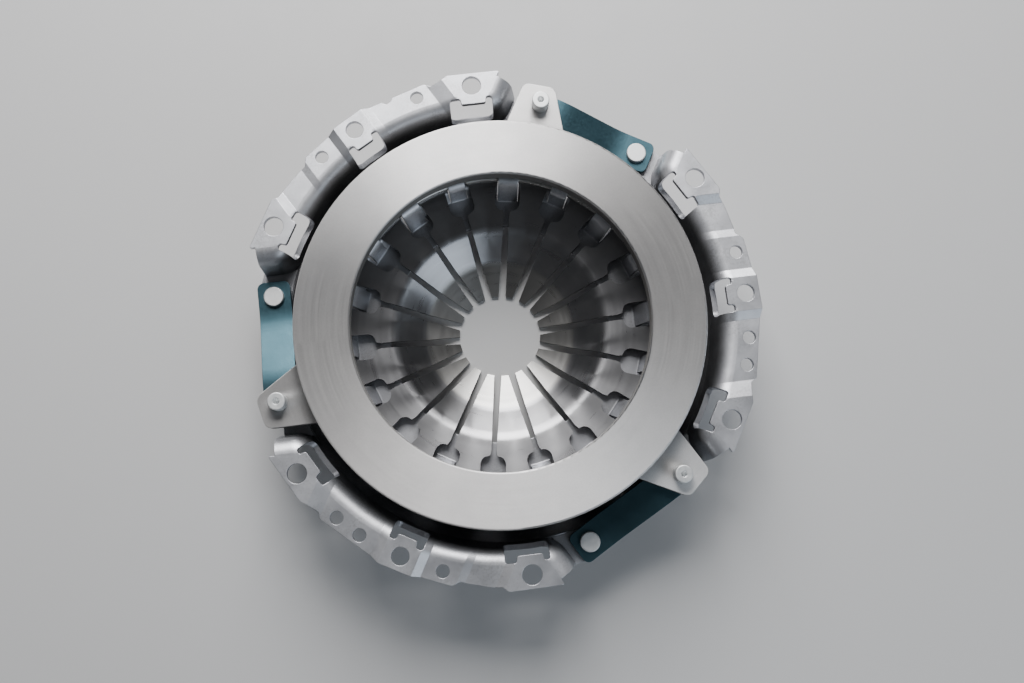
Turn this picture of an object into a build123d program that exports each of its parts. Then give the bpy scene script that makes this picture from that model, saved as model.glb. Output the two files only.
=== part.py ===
"""Clutch pressure plate: a diaphragm clutch cover assembly for a 184 mm friction ring.

Millimetres, +Z towards the flywheel. The origin lies on the axis of rotation, in the
plane of the flange's bolt pads. +X points through the middle hole of one flange segment.
The assembly is drawn unbolted, standing on the tips of its diaphragm fingers.
"""

import os
from math import atan2, cos, degrees, hypot, radians, sin, sqrt, tan

from build123d import *

# Driving dimensions
RING_R = 92.0                       # outer radius of the friction ring
RING_BORE_R = RING_R - 24.85        # its inner radius
FACE_Z = 7.0                        # friction face above the bolt pads, unbolted
CORNER_R = RING_R + 9.2             # where the cover wall's line meets the pad plane
WALL_FOOT_R = CORNER_R - 2.8        # wall at the height of the strap lands
BOLT_R = CORNER_R + 10.8            # pitch radius of the cover's bolt holes
SHEET = 2.5                         # cover sheet
CROWN_Z = -32.5                     # inner face of the cover's crown
FULCRUM_R = RING_R - 18.0           # wire ring and bead on which the diaphragm rocks
CROWN_BORE_R = FULCRUM_R - 21.1     # edge of the crown's opening
SPRING_T = 2.2                      # diaphragm sheet
TIP_R = 19.8                        # circle of the finger tips
RIDGE_R = RING_R - 5.0              # where the diaphragm pushes on the casting
FINGERS = 18
SEGMENTS = 3
GAP_ANGLE = 360.0 / SEGMENTS

# Flange and wall
LAND_Z = -18.6           # top of the strap lands
ROLL_R = 7.5             # roll between pads and wall
ROLL_REACH = 7.2         # width of the roll and its strip of pad
SMALL_PAD_Z = -1.5       # pads of the small holes
DIP_Z = -2.1             # low stretch beside the leading bolt pad
END_WALL_X = 40.3        # end wall of a segment, from the middle of the gap
END_WALL_Y = CORNER_R + 4.8
END_BEND_R = 9.0
BOLT_HOLE_R = 4.45
DOWEL_HOLE_R = 4.05
SMALL_HOLE_R = 3.0
SMALL_PITCH_R = BOLT_R + 0.6
BOLT_ANGLE = 30.0
BOLT_S = BOLT_R * sin(radians(BOLT_ANGLE))     # the end bolts' offset along a segment
SMALL_ANGLES = (10.0, -16.7)
ODD_ANGLE = -10.3        # a further small hole here, but for one segment that has a notch instead
NOTCHED_SEGMENT = 1
CUT_DEPTH_Z = -13.5      # lower edge of the openings inboard of the bolt pads
CUT_CORNER_R = 3.0
NOTCH_R = CORNER_R + 5.1     # how far out those openings reach, beside their tongues
TONGUE_R = CORNER_R + 2.1    # tip of a tongue
DOWEL_TONGUE, BOLT_TONGUE = 4.4, 5.6     # half widths of the tongues
DOWEL_CUT, BOLT_CUT_OUTER, BOLT_CUT_INNER = 8.0, 8.8, 11.0

# Diaphragm
CONE = radians(10.0)     # slope of the sprung rim
DISH_R = FULCRUM_R - 24.0       # the fingers dip here
DISH_END_R = DISH_R - 14.0      # and flatten again here
DISH = radians(34.0)
TIP_SLOPE = radians(16.0)
SPRING_TOP_Z = -25.2     # upper face at the fulcrum
SPRING_OUTER_R = RIDGE_R + 2.0
WINDOW_IN_R, WINDOW_OUT_R = FULCRUM_R - 14.7, FULCRUM_R + 2.2
WINDOW_W = 12.0
WINDOW_CORNER_R = 4.2
SLOT_W_OUT, SLOT_W_IN = 2.4, 3.7

# Wire ring and the tabs that hold it
ROCK_GAP = 0.3           # between curved faces that rock on each other
WIRE_R = 1.5
WIRE_SPLIT_ANGLE = 96.5
WIRE_SPLIT = 1.2
TAB_T = 2.2
TAB_TOP_Z = SPRING_TOP_Z + ROCK_GAP + 2 * WIRE_R + 0.1 + TAB_T
LONG_TAB = (FULCRUM_R - 8.8, FULCRUM_R - 3.4, 9.5)      # root radius, shoulder radius, width
SHORT_TAB = (FULCRUM_R - 5.5, FULCRUM_R - 3.7, 8.0)
TAB_END_R = FULCRUM_R + 1.4
TAB_BEND_R = 2.2         # inside bend over the wire ring
TAB_SLOT_END_R = FULCRUM_R + 5.6

# Lugs of the casting
LUG_TOP_Z = -3.6
LUG_T = 5.0
LUG_UNDER_Z = LUG_TOP_Z - LUG_T

# Drive straps, in the frame of a gap: x clockwise, y outwards
STRAP_Y = WALL_FOOT_R + 4.2
STRAP_W = 15.0
LEAF_T = 0.75
LEAVES = 4
PACK_T = LEAVES * LEAF_T
COVER_RIVET_X = 26.7
LUG_RIVET_X = -23.5
LEAF_BEYOND = 7.2        # leaf beyond the rivet's centre
S_START_X, S_END_X = 15.5, -12.5
S_BEND_R = 40.0

# Rivets
SHANK_R = 3.0
RIVET_HOLE_R = 3.1
COVER_HEAD_R, COVER_HEAD_H = 4.6, 2.0
LUG_HEAD_R = 3.85
LUG_HEAD_TOP_Z = 5.0
LUG_HEAD_BORE_R, LUG_HEAD_BORE_H = 1.15, 4.0
TAIL_R, TAIL_H = 4.6, 1.6


def outline(points, radii):
    """Plan face through points, each corner rounded to its radius (0 keeps it sharp)."""
    corners = []
    for i, (x, y) in enumerate(points):
        px, py = points[i - 1]
        nx, ny = points[(i + 1) % len(points)]
        before, after = hypot(x - px, y - py), hypot(nx - x, ny - y)
        ax, ay = (x - px) / before, (y - py) / before
        bx, by = (nx - x) / after, (ny - y) / after
        turn = atan2(ax * by - ay * bx, ax * bx + ay * by)
        if radii[i] <= 0 or abs(turn) < 1e-6:
            corners.append(((x, y), None, (x, y)))
            continue
        reach = radii[i] * tan(abs(turn) / 2)
        sag = radii[i] / cos(turn / 2) - radii[i]
        mx, my = bx - ax, by - ay
        m = hypot(mx, my)
        corners.append((
            (x - ax * reach, y - ay * reach),
            (x + mx / m * sag, y + my / m * sag),
            (x + bx * reach, y + by * reach),
        ))
    edges = []
    for i, (start, middle, end) in enumerate(corners):
        if middle is not None:
            edges.append(Edge.make_three_point_arc(Vector(*start), Vector(*middle), Vector(*end)))
        following = corners[(i + 1) % len(corners)][0]
        if hypot(following[0] - end[0], following[1] - end[1]) > 1e-6:
            edges.append(Edge.make_line(Vector(*end), Vector(*following)))
    face = Face(Wire(edges))
    return face if face.normal_at().Z > 0 else -face


def sheet(points, thickness, bends):
    """Section of a bent sheet: points run along its left side, bends are inside radii."""
    steps = []
    for a, b in zip(points, points[1:]):
        length = hypot(b[0] - a[0], b[1] - a[1])
        steps.append(((b[0] - a[0]) / length, (b[1] - a[1]) / length))
    far, near_radii, far_radii = [], [], []
    for i, (x, y) in enumerate(points):
        before = steps[max(i - 1, 0)]
        after = steps[min(i, len(steps) - 1)]
        nx, ny = before[1] + after[1], -before[0] - after[0]
        scale = 2 * thickness / (nx * nx + ny * ny)
        far.append((x + nx * scale, y + ny * scale))
        if i in (0, len(points) - 1):
            near_radii.append(0)
            far_radii.append(0)
            continue
        turns_left = before[0] * after[1] - before[1] * after[0] > 0
        inside = bends[i - 1]
        near_radii.append(inside if turns_left else inside + thickness)
        far_radii.append(inside + thickness if turns_left else inside)
    return outline(points + far[::-1], near_radii + far_radii[::-1])


def revolved(section, start=0.0, arc=360.0):
    """Turn a section drawn as (radius, height) about the Z axis."""
    return Rot(0, 0, start) * revolve(Plane.XZ * section, Axis.Z, arc)


def prism(face, low, high):
    """Plan face extruded between two heights."""
    return Pos(0, 0, low) * extrude(face, high - low)


def rod(x, y, radius, low, high):
    return Pos(x, y, low) * Cylinder(radius, high - low, align=(Align.CENTER, Align.CENTER, Align.MIN))


def box(x0, x1, y0, y1, low, high):
    return Pos((x0 + x1) / 2, (y0 + y1) / 2, (low + high) / 2) * Box(x1 - x0, y1 - y0, high - low)


def in_segment(shape, segment, angle=0.0):
    """From a segment's frame (its middle along +X) to the part's."""
    return Rot(0, 0, GAP_ANGLE * segment + angle) * shape


def in_gap(shape, gap):
    """From a gap's frame (x clockwise, y outwards) to the part's."""
    return Rot(0, 0, GAP_ANGLE * (gap + 0.5) - 90.0) * shape


def spring_top(radius):
    """Height of the diaphragm's upper face at a radius."""
    z = SPRING_TOP_Z + (max(radius, DISH_R) - FULCRUM_R) * tan(CONE)
    z -= (DISH_R - min(max(radius, DISH_END_R), DISH_R)) * tan(DISH)
    return z - (DISH_END_R - min(radius, DISH_END_R)) * tan(TIP_SLOPE)


# Cover

def bowl():
    """Crown, fulcrum bead and the round wall up to the strap lands."""
    bead_z = SPRING_TOP_Z - SPRING_T / cos(CONE) - ROCK_GAP - 0.1
    section = sheet([
        (CROWN_BORE_R, CROWN_Z),
        (FULCRUM_R - 5.5, CROWN_Z),
        (FULCRUM_R - 1.5, bead_z),
        (FULCRUM_R + 1.5, bead_z),
        (FULCRUM_R + 5.5, CROWN_Z),
        (WALL_FOOT_R - 13.4, CROWN_Z),
        (WALL_FOOT_R - 5.0, CROWN_Z + 4.5),
        (WALL_FOOT_R, LAND_Z),
    ], SHEET, [0.5, 0.5, 0.5, 0.5, 5.0, 4.0])
    return revolved(section)


def tab(root, shoulder, width):
    """A tab cut free from the crown and bent up and out over the wire ring."""
    section = sheet([
        (root - 3.0, CROWN_Z),
        (root, CROWN_Z),
        (shoulder, TAB_TOP_Z),
        (TAB_END_R, TAB_TOP_Z),
    ], TAB_T, [0.8, TAB_BEND_R])
    return Pos(0, width / 2, 0) * extrude(Plane.XZ * section, width)


def tab_slot(root, width):
    return box(root + 0.2, TAB_SLOT_END_R, -width / 2 - 0.4, width / 2 + 0.4, CROWN_Z - 6.0, CROWN_Z + 8.0)


def wall_section(level):
    """Section of wall, roll and strip of pad at a level, drawn from the wall's line at the pad plane."""
    foot = WALL_FOOT_R - CORNER_R
    corner = level * foot / LAND_Z
    return sheet([(foot, LAND_Z - 1.0), (foot, LAND_Z), (corner, level), (corner + ROLL_REACH, level)],
                 SHEET, [0.5, ROLL_R - SHEET])


def end_walls(section):
    """A segment's two ends: the wall bends away from the ring and runs out along the gap."""
    bend_x = END_WALL_X + END_BEND_R
    bend_y = sqrt((CORNER_R + END_BEND_R) ** 2 - bend_x ** 2)
    bend_angle = degrees(atan2(bend_x, bend_y))
    end_wall = Pos(END_WALL_X, bend_y, 0) * extrude(Plane.XZ * section, bend_y - END_WALL_Y)
    facing = Pos(END_BEND_R, 0, 0) * mirror(section, Plane.YZ)
    bend = Pos(bend_x, bend_y, 0) * revolved(facing, 180.0, 90.0 - bend_angle)
    end = Rot(0, 0, GAP_ANGLE / 2 - 90.0) * (end_wall + bend)
    return end + mirror(end, Plane.XZ), GAP_ANGLE / 2 - bend_angle


def segment_walls():
    """Wall and roll of the segment along +X, which rise and fall with the pads."""
    ends, reach = end_walls(wall_section(0.0))
    heights = pad_heights()
    flats = []
    for (start, level), (end, _) in zip(heights[::2], heights[1::2]):
        ring = revolved(Pos(CORNER_R, 0, 0) * wall_section(level), -reach, 2 * reach)
        flats.append(ring & box(0, CORNER_R + 30.0, -end, -start, LAND_Z - 10, 5))
    ramps = []
    for before, after in zip(flats, flats[1:]):
        near = before.faces().filter_by(Axis.Y).sort_by(Axis.Y)[0]
        far = after.faces().filter_by(Axis.Y).sort_by(Axis.Y)[-1]
        ramps.append(loft([near, far], ruled=True))
    return ends + flats + ramps


def along(s, outwards):
    """A segment's plan point from its clockwise offset and distance outwards."""
    return (outwards, -s)


def pad_heights():
    """Heights of the flange's upper face along a segment, clockwise."""
    return [
        (-BOLT_S - 19.0, 0.0), (8.5 - BOLT_S, 0.0), (12.5 - BOLT_S, DIP_Z), (-30.5, DIP_Z),
        (-27.0, SMALL_PAD_Z), (-11.5, SMALL_PAD_Z), (-7.6, 0.0), (8.0, 0.0), (12.0, SMALL_PAD_Z),
        (BOLT_S - 16.7, SMALL_PAD_Z), (BOLT_S - 9.5, 0.0), (BOLT_S + 19.0, 0.0),
    ]


def across(points, radii=None):
    """Section along a segment (clockwise offset, height) extruded outwards."""
    inner, outer = CORNER_R - 21.0, CORNER_R + 25.0
    side = Plane(origin=(outer, 0, 0), x_dir=(0, -1, 0), z_dir=(-1, 0, 0))
    return extrude(side * outline(points, radii or [0] * len(points)), outer - inner)


def plan(points, radii, low, high):
    """Prism on a segment's plan points, given as clockwise offset and distance beyond the bolt circle."""
    return prism(outline([along(s, BOLT_R + beyond) for s, beyond in points], radii), low, high)


def flange_edge():
    """A segment's trimmed edge, closed well inside the wall."""
    tip, shoulder = BOLT_S + 14.2, BOLT_S - 6.4
    edge = [
        (-tip, -28.0), (-tip, -16.4), (-shoulder, -4.3), (9.6 - BOLT_S, -5.1), (13.5 - BOLT_S, -3.1),
        (-31.0, -0.3), (-28.4, -0.1), (-25.6, 3.2), (-11.7, 4.9), (-7.2, 6.2),
        (7.8, 6.4), (11.8, 5.0), (BOLT_S - 17.2, -0.8), (BOLT_S - 15.4, -3.5), (BOLT_S - 10.0, -4.3),
        (shoulder, -4.4), (tip, -16.4), (tip, -28.0),
    ]
    radii = [0, 1.0, 2.0, 1.0, 1.5, 0, 1.0, 2.0, 0, 3.0, 3.0, 0, 1.5, 1.0, 0, 2.0, 1.0, 0]
    return plan(edge, radii, -8.0, 1.0)


def edge_notch():
    points = [(17.4, 7.0), (17.9, 3.2), (19.2, 1.6), (21.8, 1.6), (23.9, 3.4), (24.4, 7.0)]
    return plan(points, [0, 1.0, 1.0, 1.0, 1.0, 0], -9.0, 2.0)


def small_hole(angle):
    return Rot(0, 0, angle) * rod(SMALL_PITCH_R, 0, SMALL_HOLE_R, -10, 3)


def pad_opening(body, left, right, tongue):
    """Cut the opening inboard of a bolt pad on +X, and leave a flat tongue of the pad in it."""
    side = tongue + 1.8
    flat_r = CORNER_R + ROLL_REACH - 0.2
    flat = outline([along(-side, TONGUE_R - 1.0), along(-side, flat_r), along(side, flat_r),
                    along(side, TONGUE_R - 1.0)], [0] * 4)
    body -= prism(flat, CUT_DEPTH_Z, -SHEET)
    body += prism(flat, -SHEET, 0)
    points = [
        (-left, CORNER_R - 4.0), (-left, NOTCH_R), (-tongue - 0.4, NOTCH_R), (-tongue, TONGUE_R),
        (tongue, TONGUE_R), (tongue + 0.4, NOTCH_R), (right, NOTCH_R), (right, CORNER_R - 4.0),
    ]
    cut = prism(outline([along(*p) for p in points], [0, 1.2, 1.2, 1.0, 1.0, 1.2, 1.2, 0]), CUT_DEPTH_Z, 1.0)
    front = [(-left, CUT_DEPTH_Z), (right, CUT_DEPTH_Z), (right, 1.0), (-left, 1.0)]
    return body - (cut & across(front, [CUT_CORNER_R, CUT_CORNER_R, 0, 0]))


def segment():
    """One flange segment along +X: wall, stepped pads, openings and the holes all three share."""
    heights = pad_heights()
    plate = across(heights + [(s, z - SHEET) for s, z in reversed(heights)])
    clear = rod(0, 0, CORNER_R + ROLL_REACH - 0.4, -10, 3)
    gap_side = box(-60, END_WALL_X + ROLL_REACH - 0.4, 60, CORNER_R + 40, -10, 3)
    gap_side = Rot(0, 0, GAP_ANGLE / 2 - 90.0) * gap_side
    clear += [gap_side, mirror(gap_side, Plane.XZ)]
    body = segment_walls() + (plate & (flange_edge() - clear))
    body = pad_opening(body, DOWEL_CUT, DOWEL_CUT, DOWEL_TONGUE)
    for angle, cuts in ((BOLT_ANGLE, (BOLT_CUT_OUTER, BOLT_CUT_INNER)),
                        (-BOLT_ANGLE, (BOLT_CUT_INNER, BOLT_CUT_OUTER))):
        turned = pad_opening(Rot(0, 0, -angle) * body, *cuts, BOLT_TONGUE)
        body = Rot(0, 0, angle) * (turned - rod(BOLT_R, 0, BOLT_HOLE_R, -10, 3))
    body -= rod(BOLT_R, 0, DOWEL_HOLE_R, -10, 3)
    return body - [small_hole(angle) for angle in SMALL_ANGLES]


def strap_land():
    """Ledge of a gap that carries the cover's end of a drive strap."""
    low, high = LAND_Z - SHEET, LAND_Z
    side = END_WALL_X - 1.1
    right = [
        (11.0, -10.6), (11.0, -3.0), (18.4, 2.0), (COVER_RIVET_X, 8.5), (34.6, 5.7),
        (side, 4.0), (side, -12.6),
    ]
    edge = outline([(x, STRAP_Y + y) for x, y in right], [0, 0, 3.0, 7.0, 0, 0, 0])
    land = prism(edge, low, high) + box(-side, -31.0, STRAP_Y - 17.6, STRAP_Y + 1.9, low, high)
    land -= rod(0, 0, WALL_FOOT_R + 0.6, low - 1, high + 1)
    land -= rod(LUG_RIVET_X, STRAP_Y, 7.6, low - 1, high + 1)
    return land - rod(COVER_RIVET_X, STRAP_Y, RIVET_HOLE_R, low - 1, high + 1)


def cover():
    body = bowl()
    slots, tabs = [], []
    for i in range(FINGERS):
        shape = SHORT_TAB if i % 2 else LONG_TAB
        turn = Rot(0, 0, 360.0 / FINGERS * i)
        slots.append(turn * tab_slot(shape[0], shape[2]))
        tabs.append(turn * tab(*shape))
    body -= slots
    body += tabs
    plain, land = segment(), strap_land()
    for i in range(SEGMENTS):
        third = plain - (edge_notch() if i == NOTCHED_SEGMENT else small_hole(ODD_ANGLE))
        body += [in_segment(third, i), in_gap(land, i)]
    return body


# Spring, ring and casting

def diaphragm_spring():
    """Slotted disc spring: coned rim, dished fingers, a window at each slot's root."""
    radii = (TIP_R, DISH_END_R, DISH_R, SPRING_OUTER_R)
    body = revolved(sheet([(r, spring_top(r)) for r in radii], SPRING_T, [9.0, 9.0]))
    low, high = spring_top(TIP_R) - 8.0, SPRING_TOP_Z + 8.0
    slot = outline([
        (TIP_R - 4.0, -SLOT_W_IN / 2), (WINDOW_IN_R + 2.0, -SLOT_W_OUT / 2),
        (WINDOW_IN_R + 2.0, SLOT_W_OUT / 2), (TIP_R - 4.0, SLOT_W_IN / 2),
    ], [0, 0, 0, 0])
    half = WINDOW_W / 2
    window = outline([
        (WINDOW_IN_R, -half), (WINDOW_OUT_R, -half), (WINDOW_OUT_R, half), (WINDOW_IN_R, half),
    ], [WINDOW_CORNER_R] * 4)
    cut = prism(slot, low, high) + prism(window, low, high)
    body -= [Rot(0, 0, 360.0 / FINGERS * i) * cut for i in range(FINGERS)]
    return body


def fulcrum_wire_ring():
    """Round wire bent to a split ring, between the diaphragm and the tabs."""
    z = SPRING_TOP_Z + ROCK_GAP + WIRE_R
    ring = Pos(0, 0, z) * Torus(FULCRUM_R, WIRE_R)
    split = box(FULCRUM_R - 3, FULCRUM_R + 3, -WIRE_SPLIT / 2, WIRE_SPLIT / 2, z - 3, z + 3)
    return ring - Rot(0, 0, WIRE_SPLIT_ANGLE) * split


def pressure_plate():
    """Cast ring with its friction face, the diaphragm's ridge and three drive lugs."""
    ridge_z = spring_top(RIDGE_R) + ROCK_GAP
    section = outline([
        (RING_BORE_R, FACE_Z), (RING_R, FACE_Z), (RING_R, -8.5), (RIDGE_R + 2.6, -10.0),
        (RIDGE_R + 1.9, ridge_z), (RIDGE_R - 1.9, ridge_z), (RIDGE_R - 3.2, -11.0),
        (RING_R - 15.0, -6.0), (RING_BORE_R + 1.4, -1.0), (RING_BORE_R, -1.0),
    ], [0.7, 0.8, 1.5, 1.0, 1.8, 1.8, 3.0, 6.0, 0, 0.6])
    body = revolved(section)
    lug = outline([
        (-34.6, RING_R - 7.5), (-34.6, STRAP_Y + 6.8), (-20.2, STRAP_Y + 10.1),
        (-6.0, RING_R - 1.1), (-6.0, RING_R - 6.5),
    ], [0, 3.6, 4.2, 0, 0])
    lug = prism(lug, LUG_UNDER_Z, LUG_TOP_Z) - rod(LUG_RIVET_X, STRAP_Y, RIVET_HOLE_R, -20, 10)
    for i in range(SEGMENTS):
        body += in_gap(lug, i)
    return body


# Straps and rivets

def strap_leaf(level):
    """One leaf of a drive strap: clamped flat at both ends, with an easy S between."""
    low = LAND_Z + level * LEAF_T
    high = LUG_UNDER_Z - PACK_T + level * LEAF_T
    left, right = LUG_RIVET_X - LEAF_BEYOND, COVER_RIVET_X + LEAF_BEYOND
    run = [(left, high), (S_END_X, high), (S_START_X, low), (right, low)]
    section = outline(run + [(x, z + LEAF_T) for x, z in reversed(run)],
                      [0, S_BEND_R, S_BEND_R, 0, 0, S_BEND_R, S_BEND_R, 0])
    leaf = Pos(0, STRAP_Y + STRAP_W / 2, 0) * extrude(Plane.XZ * section, STRAP_W)
    y0, y1 = STRAP_Y - STRAP_W / 2, STRAP_Y + STRAP_W / 2
    plan = outline([(left, y0), (right, y0), (right, y1), (left, y1)], [3.0] * 4)
    leaf &= prism(plan, LAND_Z - 5, 0)
    leaf -= rod(COVER_RIVET_X, STRAP_Y, RIVET_HOLE_R, LAND_Z - 5, 0)
    return leaf - rod(LUG_RIVET_X, STRAP_Y, RIVET_HOLE_R, LAND_Z - 5, 0)


def cover_rivet():
    """Flat-headed rivet through the strap pack and the cover's land."""
    top = LAND_Z + PACK_T
    under = LAND_Z - SHEET
    head = chamfer(rod(COVER_RIVET_X, STRAP_Y, COVER_HEAD_R, top, top + COVER_HEAD_H)
                   .edges().group_by(Axis.Z)[-1], 0.35)
    tail = rod(COVER_RIVET_X, STRAP_Y, TAIL_R, under - TAIL_H, under)
    return head + rod(COVER_RIVET_X, STRAP_Y, SHANK_R, under, top) + tail


def lug_rivet():
    """Rivet with a tall bored head, through the lug and the strap pack under it."""
    under = LUG_UNDER_Z - PACK_T
    head = chamfer(rod(LUG_RIVET_X, STRAP_Y, LUG_HEAD_R, LUG_TOP_Z, LUG_HEAD_TOP_Z)
                   .edges().group_by(Axis.Z)[-1], 0.4)
    head -= rod(LUG_RIVET_X, STRAP_Y, LUG_HEAD_BORE_R, LUG_HEAD_TOP_Z - LUG_HEAD_BORE_H, LUG_HEAD_TOP_Z + 1)
    tail = rod(LUG_RIVET_X, STRAP_Y, TAIL_R, under - TAIL_H, under)
    return head + rod(LUG_RIVET_X, STRAP_Y, SHANK_R, under, LUG_TOP_Z) + tail


def build():
    pieces = {
        "cover": cover(),
        "pressure_plate": pressure_plate(),
        "diaphragm_spring": diaphragm_spring(),
        "fulcrum_wire_ring": fulcrum_wire_ring(),
    }
    for gap in range(SEGMENTS):
        for level in range(LEAVES):
            pieces[f"strap_{gap + 1}_leaf_{level + 1}"] = in_gap(strap_leaf(level), gap)
        pieces[f"cover_rivet_{gap + 1}"] = in_gap(cover_rivet(), gap)
        pieces[f"lug_rivet_{gap + 1}"] = in_gap(lug_rivet(), gap)
    return pieces


os.makedirs("parts", exist_ok=True)
for name, piece in build().items():
    export_step(piece, f"parts/{name}.step")
    print(name, len(piece.solids()), round(piece.volume, 1), piece.is_valid)
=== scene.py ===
"""Looks of the clutch pressure plate: its finishes, the sprung pieces rebuilt as finer meshes, floor, light
and camera.
"""

from math import asin, cos, pi, radians, sin, sqrt

import bmesh
import bpy
import numpy as np
from mathutils import Euler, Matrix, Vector


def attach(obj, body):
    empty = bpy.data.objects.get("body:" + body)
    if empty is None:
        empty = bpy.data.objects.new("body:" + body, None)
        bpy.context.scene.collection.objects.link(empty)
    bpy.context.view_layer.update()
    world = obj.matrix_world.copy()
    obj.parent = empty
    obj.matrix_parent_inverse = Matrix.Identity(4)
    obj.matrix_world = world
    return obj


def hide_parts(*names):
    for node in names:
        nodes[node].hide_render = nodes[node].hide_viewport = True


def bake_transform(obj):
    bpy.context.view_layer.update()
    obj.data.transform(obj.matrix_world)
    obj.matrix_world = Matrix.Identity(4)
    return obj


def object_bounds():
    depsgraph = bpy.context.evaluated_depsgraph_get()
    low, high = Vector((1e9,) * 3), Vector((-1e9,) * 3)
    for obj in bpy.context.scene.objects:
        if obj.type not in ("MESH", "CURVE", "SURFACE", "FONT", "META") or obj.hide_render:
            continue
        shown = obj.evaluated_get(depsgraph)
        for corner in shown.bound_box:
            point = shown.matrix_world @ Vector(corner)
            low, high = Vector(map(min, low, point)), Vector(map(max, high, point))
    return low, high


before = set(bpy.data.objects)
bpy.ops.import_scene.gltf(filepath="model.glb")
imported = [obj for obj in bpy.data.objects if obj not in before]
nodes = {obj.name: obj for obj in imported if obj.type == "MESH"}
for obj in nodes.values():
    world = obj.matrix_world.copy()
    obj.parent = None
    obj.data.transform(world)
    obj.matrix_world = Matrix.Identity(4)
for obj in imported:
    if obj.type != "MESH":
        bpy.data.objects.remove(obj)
cad_box = [list(corner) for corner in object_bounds()]

MM = 0.001
FINGERS = 18
GAPS = 3
LEAVES = 4
PLATE_BODY = "pressure_plate_assembly"

# Diaphragm, in millimetres, as in the solid it stands for
TIP_R = 19.8
DISH_END_R = 36.0
DISH_R = 50.0
FULCRUM_R = 74.0
OUTER_R = 89.0
TIP_SLOPE, DISH_SLOPE, CONE_SLOPE = radians(16.0), radians(34.0), radians(10.0)
BEND_HALF = 2.4
TOP_AT_FULCRUM = -25.2
SPRING_T = 2.2
WINDOW_IN_R, WINDOW_OUT_R = 59.3, 76.2
WINDOW_HALF = 6.0
WINDOW_CORNER = 4.2
SLOT_IN_R, SLOT_OUT_R = 15.8, 61.3
SLOT_HALF_IN, SLOT_HALF_OUT = 1.85, 1.2

# The gap's width jumps at both ends of a window, so rows of points stand a hair inside or outside them
HAIR = 0.02

# Drive straps and lug rivets, in millimetres, in each gap's own frame
COVER_RIVET_X, LUG_RIVET_X = 26.7, -23.5
STRAP_Y = 102.6
RIVET_CLEAR = 4.0
LEAF_CUTS = 22
LUG_TOP_Z = -3.6
PACK_UNDER_Z = -11.6
SHANK_R = 3.0
HEAD_R = 3.95
HEAD_TOP_Z = 2.80
RIVET_SIDES = 40

# Between these two values lies most of a noise field
FIELD_LOW, FIELD_HIGH = 0.3, 0.7


# Shader helpers

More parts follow.
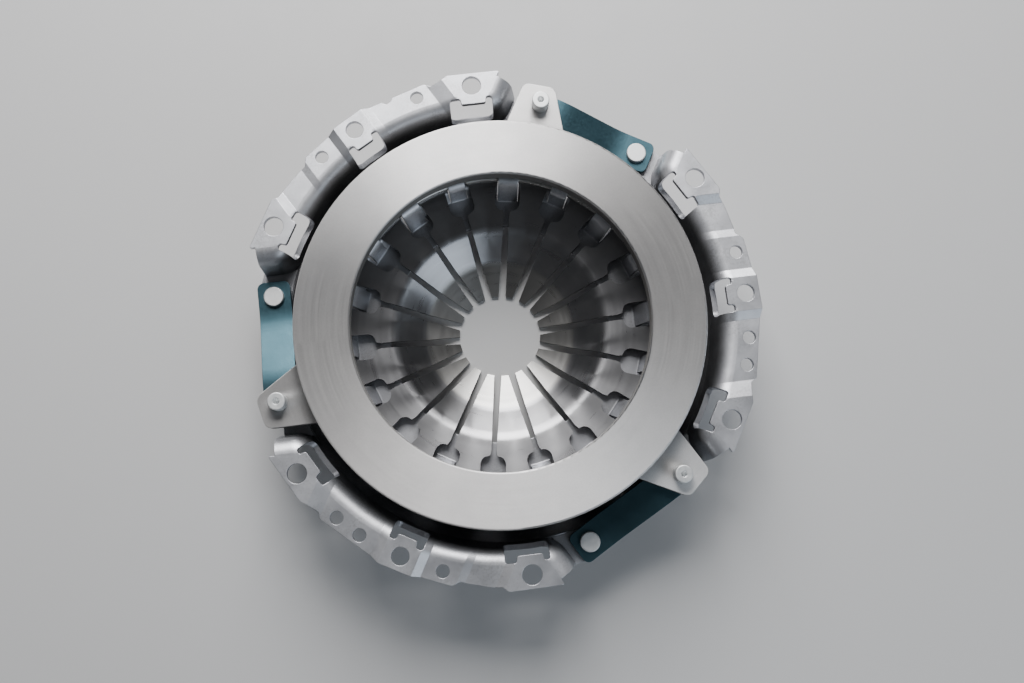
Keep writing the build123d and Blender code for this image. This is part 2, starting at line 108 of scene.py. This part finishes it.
class Finish:
    """A material under construction: its node tree, its main shader and object coordinates."""

    def __init__(self, name, metallic=1.0):
        self.material = bpy.data.materials.new(name)
        self.material.use_nodes = True
        self.tree = self.material.node_tree
        self.shader = self.tree.nodes["Principled BSDF"]
        self.shader.inputs["Metallic"].default_value = metallic
        self.place = self.tree.nodes.new("ShaderNodeTexCoord").outputs["Object"]

    def node(self, kind, **settings):
        made = self.tree.nodes.new(kind)
        for key, value in settings.items():
            setattr(made, key, value)
        return made

    def feed(self, value, socket):
        """A socket takes a number, a colour or another node's output."""
        if isinstance(value, (int, float)):
            socket.default_value = value
        elif isinstance(value, tuple):
            socket.default_value = (*value, 1)
        else:
            self.tree.links.new(value, socket)

    def color(self, value):
        self.feed(value, self.shader.inputs["Base Color"])

    def roughness(self, value):
        self.feed(value, self.shader.inputs["Roughness"])

    def math(self, operation, a, b=0.0):
        made = self.node("ShaderNodeMath", operation=operation)
        self.feed(a, made.inputs[0])
        self.feed(b, made.inputs[1])
        return made.outputs[0]

    def mixed(self, factor, a, b):
        """Colour a where the factor is 0, colour b where it is 1."""
        made = self.node("ShaderNodeMix", data_type="RGBA")
        self.feed(factor, made.inputs["Factor"])
        self.feed(a, made.inputs[6])
        self.feed(b, made.inputs[7])
        return made.outputs[2]

    def spread(self, source, low, high, to_low=0.0, to_high=1.0):
        """The source, from low to high, carried to to_low to to_high and held there."""
        made = self.node("ShaderNodeMapRange")
        self.feed(source, made.inputs["Value"])
        made.inputs["From Min"].default_value = low
        made.inputs["From Max"].default_value = high
        made.inputs["To Min"].default_value = to_low
        made.inputs["To Max"].default_value = to_high
        return made.outputs["Result"]

    def noise(self, size, detail=3.0, rough=0.6, vector=None):
        """Cloudy noise whose blotches are about size metres across."""
        made = self.node("ShaderNodeTexNoise")
        made.inputs["Scale"].default_value = 1.0 / size
        made.inputs["Detail"].default_value = detail
        made.inputs["Roughness"].default_value = rough
        self.feed(vector or self.place, made.inputs["Vector"])
        return made.outputs["Fac"]

    def mottled(self, field, dark, light):
        """A tone that a noise field carries from dark to light."""
        return self.mixed(self.spread(field, FIELD_LOW, FIELD_HIGH), dark, light)

    def rubbed(self, field, low, high):
        """A roughness that a noise field carries from low to high."""
        self.roughness(self.spread(field, FIELD_LOW, FIELD_HIGH, low, high))

    def axes(self):
        """Object coordinates, an output for each axis."""
        split = self.node("ShaderNodeSeparateXYZ")
        self.feed(self.place, split.inputs[0])
        return split.outputs

    def radius(self):
        """Distance from the axis of rotation."""
        x, y, _ = self.axes()
        return self.math("SQRT", self.math("ADD", self.math("MULTIPLY", x, x), self.math("MULTIPLY", y, y)))

    def polar(self, rings, spokes):
        """Coordinates that follow the turning marks: radius, angle and height, the first two scaled."""
        x, y, z = self.axes()
        joined = self.node("ShaderNodeCombineXYZ")
        self.feed(self.math("MULTIPLY", self.radius(), rings), joined.inputs[0])
        self.feed(self.math("MULTIPLY", self.math("ARCTAN2", y, x), spokes), joined.inputs[1])
        self.feed(z, joined.inputs[2])
        return joined.outputs[0]

    def turned(self, amount):
        """Fine turning marks round the axis stretch every highlight across them."""
        tangent = self.node("ShaderNodeTangent", direction_type="RADIAL", axis="Z")
        self.shader.inputs["Anisotropic"].default_value = amount
        self.shader.inputs["Anisotropic Rotation"].default_value = 0.25
        self.feed(tangent.outputs["Tangent"], self.shader.inputs["Tangent"])

    def recess_shade_mask(self, reach):
        """1 in deep, narrow places where little light reaches, 0 out in the open: a mask for painted shade.
        """
        made = self.node("ShaderNodeAmbientOcclusion", samples=4)
        made.inputs["Distance"].default_value = reach
        return self.spread(made.outputs["AO"], 0.15, 0.75, 1.0, 0.0)

    def edges(self, radius):
        """Worn edges: the normal turns round each edge within a radius."""
        made = self.node("ShaderNodeBevel", samples=6)
        made.inputs["Radius"].default_value = radius
        return made.outputs["Normal"]

    def bump(self, height, depth, strength, before):
        """Surface relief on a normal: height from 0 to 1 stands for depth metres."""
        made = self.node("ShaderNodeBump")
        made.inputs["Distance"].default_value = depth
        made.inputs["Strength"].default_value = strength
        self.feed(height, made.inputs["Height"])
        self.feed(before, made.inputs["Normal"])
        self.feed(made.outputs["Normal"], self.shader.inputs["Normal"])
        return made.outputs["Normal"]


# Finishes

def ground_iron():
    """Cast iron, ground on its friction face and lug tops, as cast elsewhere."""
    f = Finish("ground_iron")
    f.turned(0.74)
    marks = f.noise(1.0, 3.0, 0.6, f.polar(1600.0, 1.5))
    ground = f.mottled(f.noise(0.030, 4.0), (0.68, 0.672, 0.675), (0.80, 0.79, 0.785))
    grains = f.spread(f.noise(0.0008, 2.0, 0.7), 0.35, 0.75, 0.0, 0.15)
    ground = f.mixed(grains, ground, (0.45, 0.44, 0.43))
    height = f.axes()[2]
    below_face = f.spread(height, 0.0050, 0.0064, 1.0, 0.0)
    above_lug = f.spread(height, -0.0042, -0.0037)
    past_ring = f.spread(f.radius(), 0.0922, 0.0926)
    lug_top = f.math("MULTIPLY", above_lug, past_ring)
    as_cast = f.math("MULTIPLY", below_face, f.math("SUBTRACT", 1.0, lug_top))
    tone = f.mixed(as_cast, ground, (0.24, 0.235, 0.23))
    # Painted shade: the iron is darkened to near black in recesses and narrow gaps.
    f.color(f.mixed(f.math("MULTIPLY", f.recess_shade_mask(0.020), 0.85), tone, (0.055, 0.055, 0.057)))
    f.roughness(f.spread(f.math("ADD", marks, as_cast), 0.2, 1.6, 0.44, 0.70))
    relief = f.bump(marks, 0.000004, 0.5, f.edges(0.0004))
    f.bump(f.math("MULTIPLY", f.noise(0.0016), as_cast), 0.00012, 1.0, relief)
    return f.material


def pressed_steel():
    """Bare pressed sheet with an oily sheen, fine rolling scratches, faint stains and painted shade in its
    recesses.
    """
    f = Finish("pressed_steel", 0.82)
    clouds = f.noise(0.018, 4.0)
    fine = f.noise(0.0012)
    tone = f.mottled(clouds, (0.56, 0.57, 0.605), (0.78, 0.79, 0.83))
    scuffs = f.math("MULTIPLY", f.noise(0.0009, 2.0), f.noise(0.012, 2.0, 0.5))
    tone = f.mixed(f.spread(scuffs, 0.26, 0.42, 0.0, 0.35), tone, (0.34, 0.34, 0.34))
    # Painted shade: the sheet is darkened in recesses, most toward its outer wall beside the plate.
    painted_shade = f.math("MULTIPLY", f.recess_shade_mask(0.018), f.spread(f.radius(), 0.072, 0.092, 0.30, 0.92))
    f.color(f.mixed(painted_shade, tone, (0.055, 0.055, 0.060)))
    f.roughness(f.spread(f.math("ADD", clouds, fine), 0.6, 1.4, 0.36, 0.48))
    relief = f.bump(fine, 0.000012, 0.5, f.edges(0.0004))
    f.bump(f.noise(0.010, 1.5, 0.5), 0.00020, 0.6, relief)
    return f.material


def spring_steel():
    """Hardened spring disc: dark polished steel, brushed round the axis, paler at its tips."""
    f = Finish("spring_steel")
    f.turned(0.35)
    clouds = f.noise(0.014)
    marks = f.noise(1.0, 1.5, 0.5, f.polar(600.0, 1.2))
    at_tips = f.spread(f.radius(), 0.0355, 0.0365, 1.0, 0.0)
    tone = f.mottled(clouds, (0.33, 0.33, 0.345), (0.39, 0.39, 0.40))
    f.color(f.mixed(at_tips, tone, (0.44, 0.435, 0.425)))
    f.roughness(f.spread(f.math("ADD", marks, f.math("MULTIPLY", clouds, 0.6)), 0.4, 1.2, 0.25, 0.34))
    return f.material


def strap_steel():
    """Blued spring leaf, teal, with a soft grain."""
    f = Finish("strap_steel", 0.85)
    grain = f.noise(0.0009)
    f.color(f.mottled(f.noise(0.020), (0.052, 0.112, 0.140), (0.078, 0.156, 0.192)))
    f.rubbed(grain, 0.30, 0.44)
    f.bump(grain, 0.000010, 0.4, f.edges(0.0003))
    return f.material


def rivet_steel():
    """Zinc-plated rivet: bright, faintly mottled, with small dents."""
    f = Finish("rivet_steel")
    mottle = f.noise(0.0022, 3.0, 0.55)
    f.color(f.mottled(mottle, (0.84, 0.86, 0.87), (0.93, 0.94, 0.94)))
    f.rubbed(mottle, 0.48, 0.60)
    f.bump(mottle, 0.000010, 0.4, f.edges(0.0004))
    return f.material


def wire_steel():
    """Drawn wire, plain."""
    f = Finish("wire_steel")
    f.color((0.46, 0.46, 0.45))
    f.rubbed(f.noise(0.003), 0.24, 0.40)
    return f.material


def pale_floor():
    """Matt studio floor."""
    f = Finish("pale_floor", 0.0)
    f.color((0.66, 0.66, 0.665))
    f.rubbed(f.noise(0.02), 0.50, 0.60)
    return f.material


# Mesh helpers

def piece(name, mesh, material):
    """A new object whose mesh holds one slot, with the material in it."""
    made = bpy.data.objects.new(name, mesh)
    bpy.context.scene.collection.objects.link(made)
    mesh.materials.clear()
    mesh.materials.append(material)
    return made


def dress(node, material):
    """A CAD node keeps its shape and gets a finish."""
    made = nodes[node]
    if not made.material_slots:
        made.data.materials.append(material)
    for slot in made.material_slots:
        slot.material = material


def smooth_mesh(bm, mesh, sharp=radians(32.0)):
    """The built faces go into the mesh, shaded smooth but for edges that turn by more than sharp."""
    bm.to_mesh(mesh)
    bm.free()
    for polygon in mesh.polygons:
        polygon.use_smooth = True
    mesh.set_sharp_from_angle(angle=sharp)
    return mesh


# Diaphragm

def spring_profile():
    """Upper face of the diaphragm: radii, heights and slopes, the slopes joined by round bends."""
    step = 0.05
    radii = np.arange(TIP_R, OUTER_R + step, step)
    slopes = np.interp(
        radii,
        [TIP_R, DISH_END_R - BEND_HALF, DISH_END_R + BEND_HALF,
         DISH_R - BEND_HALF, DISH_R + BEND_HALF, OUTER_R],
        [TIP_SLOPE, TIP_SLOPE, DISH_SLOPE, DISH_SLOPE, CONE_SLOPE, CONE_SLOPE],
    )
    heights = np.concatenate([[0.0], np.cumsum(np.tan(slopes[:-1]) * step)])
    heights += TOP_AT_FULCRUM - np.interp(FULCRUM_R, radii, heights)
    return radii, heights, slopes


RADII, HEIGHTS, SLOPES = spring_profile()


def slot_half(radius):
    """Half the width of the slot or window between two fingers, at a radius."""
    if radius < WINDOW_IN_R:
        share = (radius - SLOT_IN_R) / (SLOT_OUT_R - SLOT_IN_R)
        return SLOT_HALF_IN + (SLOT_HALF_OUT - SLOT_HALF_IN) * share
    if radius > WINDOW_OUT_R:
        return 0.0
    inset = min(radius - WINDOW_IN_R, WINDOW_OUT_R - radius, WINDOW_CORNER)
    return WINDOW_HALF - WINDOW_CORNER + sqrt(WINDOW_CORNER ** 2 - (WINDOW_CORNER - inset) ** 2)


def spring_sector(name, index, stations, across=8):
    """A sector of the diaphragm between two slots, from the first station's radius to the last."""
    middle = radians(360.0 / FINGERS * (index + 0.5))
    half_pitch = pi / FINGERS
    bm = bmesh.new()
    rows = []
    for radius in stations:
        top = float(np.interp(radius, RADII, HEIGHTS))
        slope = float(np.interp(radius, RADII, SLOPES))
        limit = half_pitch - asin(slot_half(radius) / radius)
        row = []
        for j in range(across + 1):
            angle = middle + limit * (2.0 * j / across - 1.0)
            x, y = radius * cos(angle) * MM, radius * sin(angle) * MM
            upper = bm.verts.new((x, y, top * MM))
            lower = bm.verts.new((x, y, (top - SPRING_T / cos(slope)) * MM))
            row.append((upper, lower))
        rows.append(row)
    for near, far in zip(rows, rows[1:]):
        for j in range(across):
            bm.faces.new((near[j][0], far[j][0], far[j + 1][0], near[j + 1][0]))
            bm.faces.new((near[j][1], near[j + 1][1], far[j + 1][1], far[j][1]))
        for j in (0, across):
            bm.faces.new((near[j][0], near[j][1], far[j][1], far[j][0]))
    for row in (rows[0], rows[-1]):
        for j in range(across):
            bm.faces.new((row[j][0], row[j + 1][0], row[j + 1][1], row[j][1]))
    bmesh.ops.recalc_face_normals(bm, faces=bm.faces)
    return smooth_mesh(bm, bpy.data.meshes.new(name)), middle


def stations(*marks):
    """Radii through marks of (radius, number of steps up to it)."""
    values = [marks[0]]
    for value, count in marks[1:]:
        start = values[-1]
        values += [start + (value - start) * (i + 1) / count for i in range(count)]
    return values


def diaphragm(material):
    """Fingers whose profile bends between their tips and the fulcrum, and the rim beyond, built as separate
    pieces.
    """
    bend = 2.6
    slot = stations(TIP_R, (DISH_END_R - bend, 5), (DISH_END_R + bend, 8), (DISH_R - bend, 4),
                    (DISH_R + bend, 9), (WINDOW_IN_R, 3))
    window = stations(WINDOW_IN_R + HAIR, (WINDOW_IN_R + WINDOW_CORNER, 8), (WINDOW_OUT_R - WINDOW_CORNER, 4),
                      (FULCRUM_R, 2))
    rim = stations(FULCRUM_R, (WINDOW_OUT_R - HAIR, 6)) + stations(WINDOW_OUT_R + HAIR, (OUTER_R, 8))
    for index in range(FINGERS):
        mesh, angle = spring_sector(f"finger_{index + 1}", index, slot + window)
        finger = piece(mesh.name, mesh, material)
        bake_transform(finger)
        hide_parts("diaphragm_spring")
        mesh, angle = spring_sector(f"spring_rim_{index + 1}", index, rim)
        tilting = piece(mesh.name, mesh, material)
        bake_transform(tilting)
        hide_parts("diaphragm_spring")


# Drive straps and their rivets in the lugs

def gap_point(gap, x, y, z=0.0):
    """A point given in a gap's frame (x clockwise, y outwards), in millimetres."""
    turn = radians(120.0 * (gap + 0.5) - 90.0)
    return Vector((x * cos(turn) - y * sin(turn), x * sin(turn) + y * cos(turn), z)) * MM


def strap_leaf(gap, level, material):
    """A leaf of a drive strap, cut across at many places between the cover's rivet and the lug's."""
    node = f"strap_{gap + 1}_leaf_{level + 1}"
    mesh = nodes[node].data.copy()
    mesh.name = f"bent_{node}"
    bm = bmesh.new()
    bm.from_mesh(mesh)
    along = (gap_point(gap, 1, 0) - gap_point(gap, 0, 0)).normalized()
    for x in np.linspace(LUG_RIVET_X + RIVET_CLEAR, COVER_RIVET_X - RIVET_CLEAR, LEAF_CUTS):
        geometry = list(bm.verts) + list(bm.edges) + list(bm.faces)
        bmesh.ops.bisect_plane(bm, geom=geometry, plane_co=gap_point(gap, x, STRAP_Y), plane_no=along,
                               dist=1e-6)
    smooth_mesh(bm, mesh)
    made = piece(mesh.name, mesh, material)
    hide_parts(node)
    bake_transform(made)


# Half section of the rivet as radius and height: closing head, shank, tall head, round rim, conical bore
LUG_RIVET = (
    (0.0, PACK_UNDER_Z - 1.6), (4.1, PACK_UNDER_Z - 1.6), (4.5, PACK_UNDER_Z - 1.45),
    (4.6, PACK_UNDER_Z - 1.1), (4.6, PACK_UNDER_Z),
    (SHANK_R, PACK_UNDER_Z), (SHANK_R, LUG_TOP_Z),
    (HEAD_R, LUG_TOP_Z), (HEAD_R, HEAD_TOP_Z - 0.50), (HEAD_R, HEAD_TOP_Z - 0.35),
    (3.90, HEAD_TOP_Z - 0.18), (3.78, HEAD_TOP_Z - 0.05), (3.60, HEAD_TOP_Z), (3.48, HEAD_TOP_Z),
    (1.66, HEAD_TOP_Z), (1.56, HEAD_TOP_Z), (1.45, 2.74), (1.38, 2.58), (1.32, 2.30), (0.98, 0.6), (0.5, 0.1),
    (0.0, 0.0),
)


def lug_rivet(gap, material):
    """The rivet turned from its half section."""
    middle = gap_point(gap, LUG_RIVET_X, STRAP_Y)
    turns = [2 * pi * i / RIVET_SIDES for i in range(RIVET_SIDES)]
    bm = bmesh.new()
    rings = []
    for radius, z in LUG_RIVET:
        used = turns if radius else turns[:1]
        places = [Vector((radius * cos(turn), radius * sin(turn), z)) for turn in used]
        rings.append([bm.verts.new(middle + place * MM) for place in places])
    for low, high in zip(rings, rings[1:]):
        for i in range(RIVET_SIDES):
            a, b = low[i % len(low)], low[(i + 1) % len(low)]
            c, d = high[(i + 1) % len(high)], high[i % len(high)]
            bm.faces.new(list(dict.fromkeys((a, b, c, d))))
    bmesh.ops.recalc_face_normals(bm, faces=bm.faces)
    mesh = smooth_mesh(bm, bpy.data.meshes.new(f"turned_lug_rivet_{gap + 1}"))
    made = piece(mesh.name, mesh, material)
    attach(made, PLATE_BODY)
    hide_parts(f"lug_rivet_{gap + 1}")


# The whole part

def dress_part():
    """Every node that shows gets its finish, and the pieces made here take their nodes' place."""
    dress("cover", pressed_steel())
    dress("pressure_plate", ground_iron())
    dress("fulcrum_wire_ring", wire_steel())
    zinc, blued = rivet_steel(), strap_steel()
    for gap in range(GAPS):
        dress(f"cover_rivet_{gap + 1}", zinc)
        lug_rivet(gap, zinc)
        for level in range(LEAVES):
            strap_leaf(gap, level, blued)
    diaphragm(spring_steel())


# Floor, light and camera

def floor():
    """A plain square at the height of the part's lowest point."""
    reach = 3.0
    z = cad_box[0][2]
    corners = [(-reach, -reach, z), (reach, -reach, z), (reach, reach, z), (-reach, reach, z)]
    mesh = bpy.data.meshes.new("floor")
    mesh.from_pydata(corners, [], [(0, 1, 2, 3)])
    made = bpy.data.objects.new("floor", mesh)
    bpy.context.scene.collection.objects.link(made)
    mesh.materials.append(pale_floor())


def area_light(name, place, width, height, power, color):
    """A soft rectangular light that faces the middle of the part."""
    data = bpy.data.lights.new(name, "AREA")
    data.shape = "RECTANGLE"
    data.size, data.size_y = width, height
    data.energy = power
    data.color = color
    made = bpy.data.objects.new(name, data)
    bpy.context.scene.collection.objects.link(made)
    made.location = place
    made.rotation_euler = (-Vector(place)).to_track_quat("-Z", "Y").to_euler()


def lights():
    """A key light behind the part, a weak cool one in front of it, and a dim even surround."""
    world = bpy.data.worlds.new("studio")
    world.use_nodes = True
    surround = world.node_tree.nodes["Background"]
    surround.inputs["Color"].default_value = (0.50, 0.51, 0.53, 1)
    surround.inputs["Strength"].default_value = 0.12
    bpy.context.scene.world = world
    area_light("key_softbox", (0.03, 0.80, 0.68), 0.66, 0.80, 18.8, (1.0, 0.99, 0.98))
    area_light("low_window", (0.60, -0.76, 0.70), 0.90, 0.68, 3.7, (0.80, 0.90, 1.0))


def camera():
    """The photograph's view: almost straight down, from a little in front of the axis, with a 35 mm lens."""
    data = bpy.data.cameras.new("camera")
    data.lens = 35.0
    data.sensor_width = 36.0
    made = bpy.data.objects.new("camera", data)
    bpy.context.scene.collection.objects.link(made)
    made.location = (-0.01275, -0.06900, 0.44202)
    made.rotation_euler = Euler((radians(7.885), radians(-1.182), radians(-7.100)), "XYZ")
    bpy.context.scene.camera = made


camera()
lights()
floor()
dress_part()
